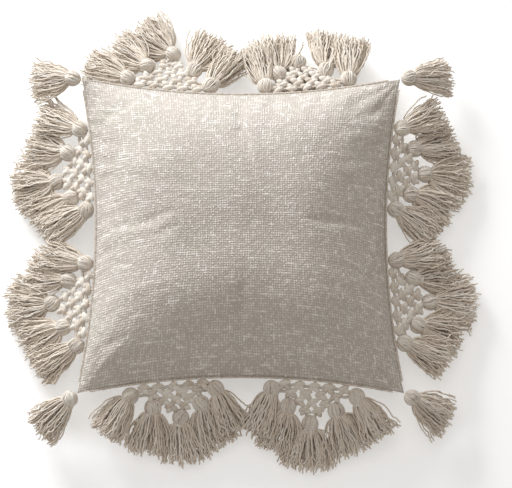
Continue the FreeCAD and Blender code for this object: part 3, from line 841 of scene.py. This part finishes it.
# %% [markdown]
# ## Stuffing the cover by cloth simulation
# A drawn surface looks like plastic. The grid is therefore run as cloth for twenty steps: air pressure
# stands for the filling, and the cloth is cut a little larger than its form, so that it buckles into soft
# wrinkles as real cloth does beside a seam. The seam, the patch that it rests on and the zip's band are
# pinned. No point may move more than a few millimetres, so the cushion keeps its size.

# %% Simulate the cover
def places_of(mesh):
    places = np.empty(len(mesh.vertices) * 3)
    mesh.vertices.foreach_get("co", places)
    return places.reshape(-1, 3)


def stuffed(obj, pinned, growth, pressure, cap):
    """Runs the object as cloth and keeps what it did, up to a cap."""
    before = places_of(obj.data)
    group = obj.vertex_groups.new(name="pinned")
    for index, weight in enumerate(pinned):
        if weight > 0:
            group.add([index], float(weight), "REPLACE")
    cloth = obj.modifiers.new("Cloth", "CLOTH")
    cloth.settings.quality = 6
    cloth.settings.mass = 0.25
    cloth.settings.tension_stiffness = 14
    cloth.settings.compression_stiffness = 14
    cloth.settings.shear_stiffness = 4
    cloth.settings.bending_stiffness = 0.25
    cloth.settings.use_pressure = True
    cloth.settings.uniform_pressure_force = pressure
    cloth.settings.shrink_min = -growth
    cloth.settings.vertex_group_mass = "pinned"
    cloth.settings.effector_weights.gravity = 0.0
    cloth.point_cache.frame_start = 1
    cloth.point_cache.frame_end = 20
    scene = bpy.context.scene
    for step in range(1, 21):
        scene.frame_set(step)
    graph = bpy.context.evaluated_depsgraph_get()
    after = places_of(obj.evaluated_get(graph).data)
    moved = after - before
    far = np.linalg.norm(moved, axis=1)
    print("cloth moved at most", round(float(far.max()) * 1000, 1), "mm, mean", round(float(far.mean()) * 1000, 2))
    moved *= np.minimum(1.0, cap / np.maximum(far, 1e-9))[:, None]
    obj.modifiers.remove(cloth)
    obj.vertex_groups.clear()
    scene.frame_set(1)
    places = before + moved
    places[:, 2] = np.maximum(places[:, 2], 0.0)
    obj.data.vertices.foreach_set("co", places.ravel())
    obj.data.update()


def cloth_places(mesh):
    """Each point's place on its flat square of cloth, and whether it is on the front."""
    flat = np.zeros((len(mesh.vertices), 2))
    front = np.zeros(len(mesh.vertices), bool)
    uvs = mesh.uv_layers["cloth"].data
    for face in mesh.polygons:
        for corner in face.loop_indices:
            point = mesh.loops[corner].vertex_index
            u, v = uvs[corner].uv
            flat[point] = (u if face.material_index == 0 else -u, v)
            front[point] |= face.material_index == 0
    return flat / 0.2285, front


tape_low, tape_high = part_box("zip_tape_upper")[0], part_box("zip_tape_lower")[1]
band_low, band_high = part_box("zip_tape_lower")[0].y - 0.006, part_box("zip_tape_upper")[1].y + 0.006
places = places_of(cover.data)
flat, on_front = cloth_places(cover.data)
at_seam = np.abs(flat).max(1) > 0.9999
at_rest = (places[:, 2] < 0.0006) & ~on_front
at_band = ((places[:, 1] > band_low) & (places[:, 1] < band_high)
           & (np.abs(places[:, 0]) < tape_high.x + 0.006) & ~on_front)
stuffed(cover, at_seam | at_rest | at_band, 0.010, 4.0, 0.0025)

# %% Seam puckers, corner folds and soft hollows
def ripple(*place):
    return noise.noise(Vector(place))


def puckered(obj, half_span):
    """Soft wrinkles square to each seam and folds that run out of the corners, along the normals."""
    mesh = obj.data
    on_layer = [set(), set()]
    for face in mesh.polygons:
        on_layer[face.material_index].update(face.vertices)
    seam_points = on_layer[0] & on_layer[1]
    crease = mesh.attributes.new("crease_edge", "FLOAT", "EDGE")
    crease.data.foreach_set("value", [float(set(edge.vertices) <= seam_points) for edge in mesh.edges])
    finer = obj.modifiers.new("Finer", "SUBSURF")
    finer.levels = finer.render_levels = 1
    graph = bpy.context.evaluated_depsgraph_get()
    mesh = bpy.data.meshes.new_from_object(obj.evaluated_get(graph), preserve_all_data_layers=True, depsgraph=graph)
    obj.modifiers.clear()
    obj.data = mesh
    flat, on_front = cloth_places(mesh)
    places = places_of(mesh)
    normals = np.array([point.normal[:] for point in mesh.vertices])
    for i, (u, v) in enumerate(flat):
        face_side = 11.0 if on_front[i] else 29.0
        from_seam = half_span * (1.0 - max(abs(u), abs(v)))
        along, seam_number = (v, 1.0 if u > 0 else 2.0) if abs(u) > abs(v) else (u, 3.0 if v > 0 else 4.0)
        run = along * half_span
        from_corner = half_span * math.hypot(1.0 - abs(u), 1.0 - abs(v))
        heading = math.atan2(1.0 - abs(v), 1.0 - abs(u) + 1e-6)
        corner_number = (u > 0) + 2 * (v > 0)
        blend = min(1.0, from_corner / 0.06)
        fine = ripple(run / 0.0085, from_seam / 0.05, face_side + seam_number)
        broad = ripple(run / 0.021 + 3.0 * from_seam / 0.1 * along, from_seam / 0.11, face_side + seam_number + 50.0)
        fold = ripple(heading * 3.4, from_corner / 0.16, face_side + corner_number * 7.0 + 100.0)
        hollow = ripple(u * 2.6, v * 2.6, face_side + 200.0)
        rise = 0.0016 * fine * (1 - math.exp(-from_seam / 0.003)) * math.exp(-from_seam / 0.022)
        rise += 0.0034 * blend * broad * (1 - math.exp(-from_seam / 0.008)) * math.exp(-from_seam / 0.055)
        rise += 0.0060 * fold * (1 - math.exp(-from_seam / 0.012)) * math.exp(-from_corner / 0.085)
        rise += 0.0035 * hollow * min(1.0, from_seam / 0.06)
        if rise > 0:
            rise *= (1 - math.exp(-from_seam / 0.018)) if on_front[i] else 0.15
        if not on_front[i] and (places[i, 2] < 0.0008 or band_low < places[i, 1] < band_high):
            rise = 0.0
        places[i] += normals[i] * rise
    places[:, 2] = np.maximum(places[:, 2], 0.0)
    mesh.vertices.foreach_set("co", places.ravel())
    mesh.update()


puckered(cover, half_span)
print("cover points", len(cover.data.vertices))

# %% [markdown]
# ## Cutting the three panels
# The front is one panel. The back is two, which meet along the zip's line and leave a slot for its teeth.
# The slot is cut where the part has it: the two tapes give the zip's middle, its slope and its length.

# %% Panels
def middle_of(node):
    low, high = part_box(node)
    return (low + high) / 2


zip_middle = (middle_of("zip_tape_upper") + middle_of("zip_tape_lower")) / 2
zip_up = (middle_of("zip_tape_lower") - middle_of("zip_tape_upper")).normalized()
zip_out = Vector((1, 0, 0)).cross(zip_up)
slot_half, slot_end = 0.004, tape_high.x - 0.004


def panel(name, source, keep, wall):
    """A panel of the cover: the faces that keep() accepts, given the cloth's thickness on the inside."""
    work = bmesh.new()
    work.from_mesh(source.data)
    if name != "cover_front":
        for offset in (-slot_half, 0.0, slot_half):
            near = [f for f in work.faces if f.material_index == 1]
            shapes = near + list({e for f in near for e in f.edges}) + list({p for f in near for p in f.verts})
            bmesh.ops.bisect_plane(work, geom=shapes, plane_co=zip_middle + zip_up * offset, plane_no=zip_up)
        for end in (-slot_end, slot_end):
            near = [f for f in work.faces if f.material_index == 1
                    and abs((f.calc_center_median() - zip_middle).dot(zip_up)) < 0.02]
            shapes = near + list({e for f in near for e in f.edges}) + list({p for f in near for p in f.verts})
            bmesh.ops.bisect_plane(work, geom=shapes, plane_co=Vector((end, 0, 0)), plane_no=Vector((1, 0, 0)))
    out = [f for f in work.faces if not keep(f)]
    bmesh.ops.delete(work, geom=out, context="FACES")
    for face in work.faces:
        face.material_index = 0
    mesh = bpy.data.meshes.new(name)
    work.to_mesh(mesh)
    work.free()
    made = bpy.data.objects.new(name, mesh)
    bpy.context.scene.collection.objects.link(made)
    made.data.materials.append(slub_cloth)
    thick = made.modifiers.new("Cloth thickness", "SOLIDIFY")
    thick.thickness = wall
    thick.offset = -1.0
    graph = bpy.context.evaluated_depsgraph_get()
    made_thick = bpy.data.meshes.new_from_object(made.evaluated_get(graph), preserve_all_data_layers=True,
                                                 depsgraph=graph)
    made.modifiers.clear()
    made.data = made_thick
    print(name, "faces", len(made_thick.polygons))
    return made


def in_slot(face):
    place = face.calc_center_median() - zip_middle
    return abs(place.dot(zip_up)) < slot_half and abs(place.x) < slot_end and abs(place.dot(zip_out)) < 0.02


def on_back(face, sign):
    return (face.material_index == 1 and not in_slot(face)
            and sign * (face.calc_center_median() - zip_middle).dot(zip_up) > 0)


front_panel = panel("cover_front", cover, lambda face: face.material_index == 0, 0.0009)
upper_panel = panel("cover_back_upper", cover, lambda face: on_back(face, -1), 0.0009)
lower_panel = panel("cover_back_lower", cover, lambda face: on_back(face, 1), 0.0009)
bpy.data.objects.remove(cover)
for piece, node in ((front_panel, "front_cover"), (upper_panel, "back_cover_upper"),
                    (lower_panel, "back_cover_lower")):
    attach(piece, "root")
    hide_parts(node)

# %% [markdown]
# ## The insert
# Under the cover lies a separate insert: a tight plain cotton ticking, closed at its own seam, full of
# soft fibre. It is out of sight, but the zip opens onto it, so it is made in the same way as the cover,
# with a simpler surface.

# %% Insert
def inner_panel(name, source, front, wall):
    keep = 0 if front else 1
    work = bmesh.new()
    work.from_mesh(source.data)
    bmesh.ops.delete(work, geom=[f for f in work.faces if f.material_index != keep], context="FACES")
    for face in work.faces:
        face.material_index = 0
    mesh = bpy.data.meshes.new(name)
    work.to_mesh(mesh)
    work.free()
    made = bpy.data.objects.new(name, mesh)
    bpy.context.scene.collection.objects.link(made)
    made.data.materials.append(ticking)
    thick = made.modifiers.new("Ticking thickness", "SOLIDIFY")
    thick.thickness = wall
    thick.offset = -1.0
    graph = bpy.context.evaluated_depsgraph_get()
    made.data = bpy.data.meshes.new_from_object(made.evaluated_get(graph), preserve_all_data_layers=True,
                                                depsgraph=graph)
    made.modifiers.clear()
    return made


def pressed_in(obj, depth):
    """Moves a surface inwards a little, more in its soft hollows."""
    mesh = obj.data
    places = places_of(mesh)
    normals = np.array([point.normal[:] for point in mesh.vertices])
    for i in range(len(places)):
        soft = ripple(places[i, 0] / 0.05, places[i, 1] / 0.05, places[i, 2] / 0.05)
        places[i] -= normals[i] * depth * (1.0 + 0.6 * soft)
    mesh.vertices.foreach_set("co", places.ravel())
    mesh.update()


insert, insert_span = cushion_grid("insert", ["insert_front_ticking"], ["insert_back_ticking"], 40, 0.2)
front_ticking = inner_panel("insert_front", insert, True, 0.0006)
back_ticking = inner_panel("insert_back", insert, False, 0.0006)
filling = insert
filling.name = "insert_fibre"
filling.data.materials.append(filling_fibre)
for face in filling.data.polygons:
    face.material_index = 0
pressed_in(filling, 0.0016)
for piece, node, slot in ((front_ticking, "insert_front_ticking", "ticking"),
                          (back_ticking, "insert_back_ticking", "ticking"), (filling, "insert_filling", "filling")):
    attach(piece, "root")
    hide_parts(node)

# %% [markdown]
# ## The heading
# The trim is crocheted onto a narrow chain that follows the seam. A chain is one link again and again, so
# a tree places a link at even steps along the seam and turns each to follow it. Its links are given darker
# tones than the nets, a painted shade for the groove along the seam.

# %% Heading tree
def chain_tree():
    tree, given = new_tree("chain_heading", [("Link", "Object", None), ("Step", "Float", 0.0021), ("Seed", "Int", 3)])
    shape = put(tree, "GeometryNodeObjectInfo", {"Object": given["Link"]}).outputs["Geometry"]
    path = put(tree, "GeometryNodeMeshToCurve", {0: given["Geometry"]}).outputs[0]
    steps = put(tree, "GeometryNodeCurveToPoints", {"Curve": path, "Length": given["Step"]}, mode="LENGTH").outputs
    number = put(tree, "GeometryNodeInputIndex").outputs[0]
    along = put(tree, "FunctionNodeAlignRotationToVector", {"Vector": steps["Tangent"]}, axis="Y",
                pivot_axis="Z").outputs[0]
    size = random_of(tree, number, given["Seed"], 1, 0.9, 1.12)
    links = put(tree, "GeometryNodeInstanceOnPoints", {"Points": steps["Points"], "Instance": shape,
                                                       "Rotation": along, "Scale": combine(tree, size, size, size)}).outputs[0]
    links = put(tree, "GeometryNodeRealizeInstances", {0: links}).outputs[0]
    island = put(tree, "GeometryNodeInputMeshIsland").outputs[0]
    # Painted shade: the links get darker tones than the nets' puffs.
    links = put(tree, "GeometryNodeStoreNamedAttribute", {"Geometry": links, "Name": "shade", "Value": random_of(
        tree, island, given["Seed"], 2, 0.1, 0.6)}, data_type="FLOAT", domain="POINT").outputs[0]
    end_tree(tree, links, net_cord)
    return tree


chain_heading = chain_tree()


def row_of_points(points):
    mesh = bpy.data.meshes.new("row")
    mesh.from_pydata(points, [(i, i + 1) for i in range(len(points) - 1)], [])
    return mesh


seam_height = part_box("front_cover")[0].z
for side, turn in (("right", 0), ("top", 90), ("left", 180), ("bottom", 270)):
    low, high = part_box("heading_" + side)
    length = max(high.x - low.x, high.y - low.y) / 2 - 0.001
    inner = min(abs(low.x), abs(high.x)) if side in ("right", "left") else min(abs(low.y), abs(high.y))
    outer = max(abs(low.x), abs(high.x)) if side in ("right", "left") else max(abs(low.y), abs(high.y))
    radius = (high.z - low.z) / 2
    rise = outer - inner - 2 * radius
    points = [Matrix.Rotation(math.radians(turn), 4, "Z") @ Vector((
        inner + radius - 0.0006 + rise * (place / length) ** 2, place, seam_height))
        for place in np.linspace(-length, length, 90)]
    heading = grown("heading_" + side + "_chain", chain_heading, {"Link": chain_link}, row_of_points(points))
    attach(heading, "root")
    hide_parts("heading_" + side)
print("heading links' faces", len(heading.data.polygons))

# %% [markdown]
# ## The zip
# The zip's solids are right as they are in the part, but moulded and woven things have no razor edges. A
# copy of each is merged and its edges are rounded, and the tapes get a UV map for their weave.

# %% Zip pieces
def rounded_copy(node, name, material, body, width):
    source = frame["nodes"][node]
    work = bmesh.new()
    work.from_mesh(source.data)
    bmesh.ops.remove_doubles(work, verts=work.verts, dist=1e-6)
    bmesh.ops.dissolve_limit(work, angle_limit=0.02, verts=work.verts, edges=work.edges)
    uv_layer = work.loops.layers.uv.new("cloth")
    for face in work.faces:
        for loop in face.loops:
            place = loop.vert.co - zip_middle
            loop[uv_layer].uv = (place.x, place.dot(zip_up))
    mesh = bpy.data.meshes.new(name)
    work.to_mesh(mesh)
    work.free()
    made = bpy.data.objects.new(name, mesh)
    bpy.context.scene.collection.objects.link(made)
    made.data.materials.append(material)
    edge = made.modifiers.new("Rounded edges", "BEVEL")
    edge.width = width
    edge.segments = 2
    edge.limit_method = "ANGLE"
    edge.angle_limit = math.radians(40)
    graph = bpy.context.evaluated_depsgraph_get()
    made.data = bpy.data.meshes.new_from_object(made.evaluated_get(graph), preserve_all_data_layers=True,
                                                depsgraph=graph)
    made.modifiers.clear()
    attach(made, body)
    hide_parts(node)
    return made


zip_pieces = [
    ("zip_tape_upper", "tape_upper", tape_weave, "zip_tape", "root", 0.00015),
    ("zip_tape_lower", "tape_lower", tape_weave, "zip_tape", "root", 0.00015),
    ("zip_teeth_upper", "teeth_upper", zip_plastic, "zip_plastic", "root", 0.0003),
    ("zip_teeth_lower", "teeth_lower", zip_plastic, "zip_plastic", "root", 0.0003),
    ("zip_end_stops", "end_stops", zip_metal, "zip_metal", "root", 0.0003),
    ("zip_slider", "slider", zip_metal, "zip_metal", "zip_slider", 0.00025),
    ("zip_pull", "pull", zip_metal, "zip_metal", "zip_pull", 0.00025)]
for node, name, material, slot, body, width in zip_pieces:
    made = rounded_copy(node, name, material, body, width)
    print(name, "faces", len(made.data.polygons))


# %% Stitches beside the zip
def stitch_tree():
    tree, given = new_tree("stitch_row", [("Step", "Float", 0.0036), ("Length", "Float", 0.0026),
                                          ("Thread Radius", "Float", 0.00032)])
    path = put(tree, "GeometryNodeMeshToCurve", {0: given["Geometry"]}).outputs[0]
    steps = put(tree, "GeometryNodeCurveToPoints", {"Curve": path, "Length": given["Step"]}, mode="LENGTH").outputs
    stitch = put(tree, "GeometryNodeMeshUVSphere", {"Segments": 6, "Rings": 5, "Radius": 1.0}).outputs[0]
    size = combine(tree, calc(tree, "MULTIPLY", given["Length"], 0.5), given["Thread Radius"],
                   given["Thread Radius"])
    row = put(tree, "GeometryNodeInstanceOnPoints", {"Points": steps["Points"], "Instance": stitch,
                                                     "Scale": size}).outputs[0]
    end_tree(tree, row, sewing_thread)
    return tree


stitch_row = stitch_tree()
for name, offset in (("stitches_upper", -1), ("stitches_lower", 1)):
    line = [zip_middle + zip_up * (offset * (slot_half + 0.0032)) + zip_out * 0.0016
            + Vector((x, 0, 0)) for x in np.linspace(-slot_end - 0.004, slot_end + 0.004, 40)]
    row = grown(name, stitch_row, {}, row_of_points(line))
    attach(row, "root")
print("stitches' faces", len(row.data.polygons))
for spare in (puff, chain_link):
    bpy.data.objects.remove(spare)

# %% [markdown]
# ## Floor, light and camera
# The pillow lies on a plain pale floor. Most of the light is soft and comes from far to the upper left,
# low enough to shade the crown towards the lower right, and a gentle light from above fills the rest. The
# camera looks almost straight down, tilted a little towards the lower edge, from far away.

# %% Floor
floor_material, tree = new_material("floor")
where = put(tree, "ShaderNodeTexCoord").outputs["Object"]
grain = put(tree, "ShaderNodeTexNoise", {"Vector": where, "Scale": 30.0, "Detail": 2.0}).outputs[0]
floor_base = mixed(tree, grain, colour(0.93, 0.93, 0.925), colour(0.95, 0.95, 0.95))
finish_material(tree, floor_base, grain, 0.0001, 0.05, 0.9, Emission_Color=colour(0.96, 0.98, 1.0),
                Emission_Strength=0.33)
floor_mesh = bpy.data.meshes.new("floor")
floor_mesh.from_pydata([(-4, -4, 0), (4, -4, 0), (4, 4, 0), (-4, 4, 0)], [], [(0, 1, 2, 3)])
floor = bpy.data.objects.new("floor", floor_mesh)
floor.data.materials.append(floor_material)
bpy.context.scene.collection.objects.link(floor)


# %% Lights
def soft_light(name, place, target, size, power, tint):
    lamp = bpy.data.lights.new(name, "AREA")
    lamp.shape = "DISK"
    lamp.size = size
    lamp.energy = power
    lamp.color = tint
    made = bpy.data.objects.new(name, lamp)
    made.location = place
    made.rotation_euler = (Vector(target) - Vector(place)).to_track_quat("-Z", "Y").to_euler()
    bpy.context.scene.collection.objects.link(made)


soft_light("window", (-1.5, 2.45, 1.0), (0.0, 0.0, 0.08), 1.4, 108.0, (0.93, 0.965, 1.0))
soft_light("overhead", (-0.3, 0.5, 2.8), (0.0, 0.0, 0.0), 2.4, 15.0, (1.0, 0.98, 0.96))
world = bpy.data.worlds.new("studio")
world.use_nodes = True
world.node_tree.nodes["Background"].inputs[0].default_value = colour(1.0, 0.95, 0.89)
world.node_tree.nodes["Background"].inputs[1].default_value = 0.355
bpy.context.scene.world = world
bpy.context.scene.view_settings.view_transform = "Standard"

# %% Camera
camera_data = bpy.data.cameras.new("camera")
camera = bpy.data.objects.new("camera", camera_data)
bpy.context.scene.collection.objects.link(camera)
distance, elevation = 3.6, math.radians(77.0)
target = Vector((0.020, -0.0135, seam_height))
camera.location = target + Vector((0, -math.cos(elevation), math.sin(elevation))) * distance
camera.rotation_euler = (target - camera.location).to_track_quat("-Z", "Y").to_euler()
camera_data.sensor_width = 36.0
camera_data.lens = 36.0 * distance / (512 * 0.00132)
bpy.context.scene.camera = camera
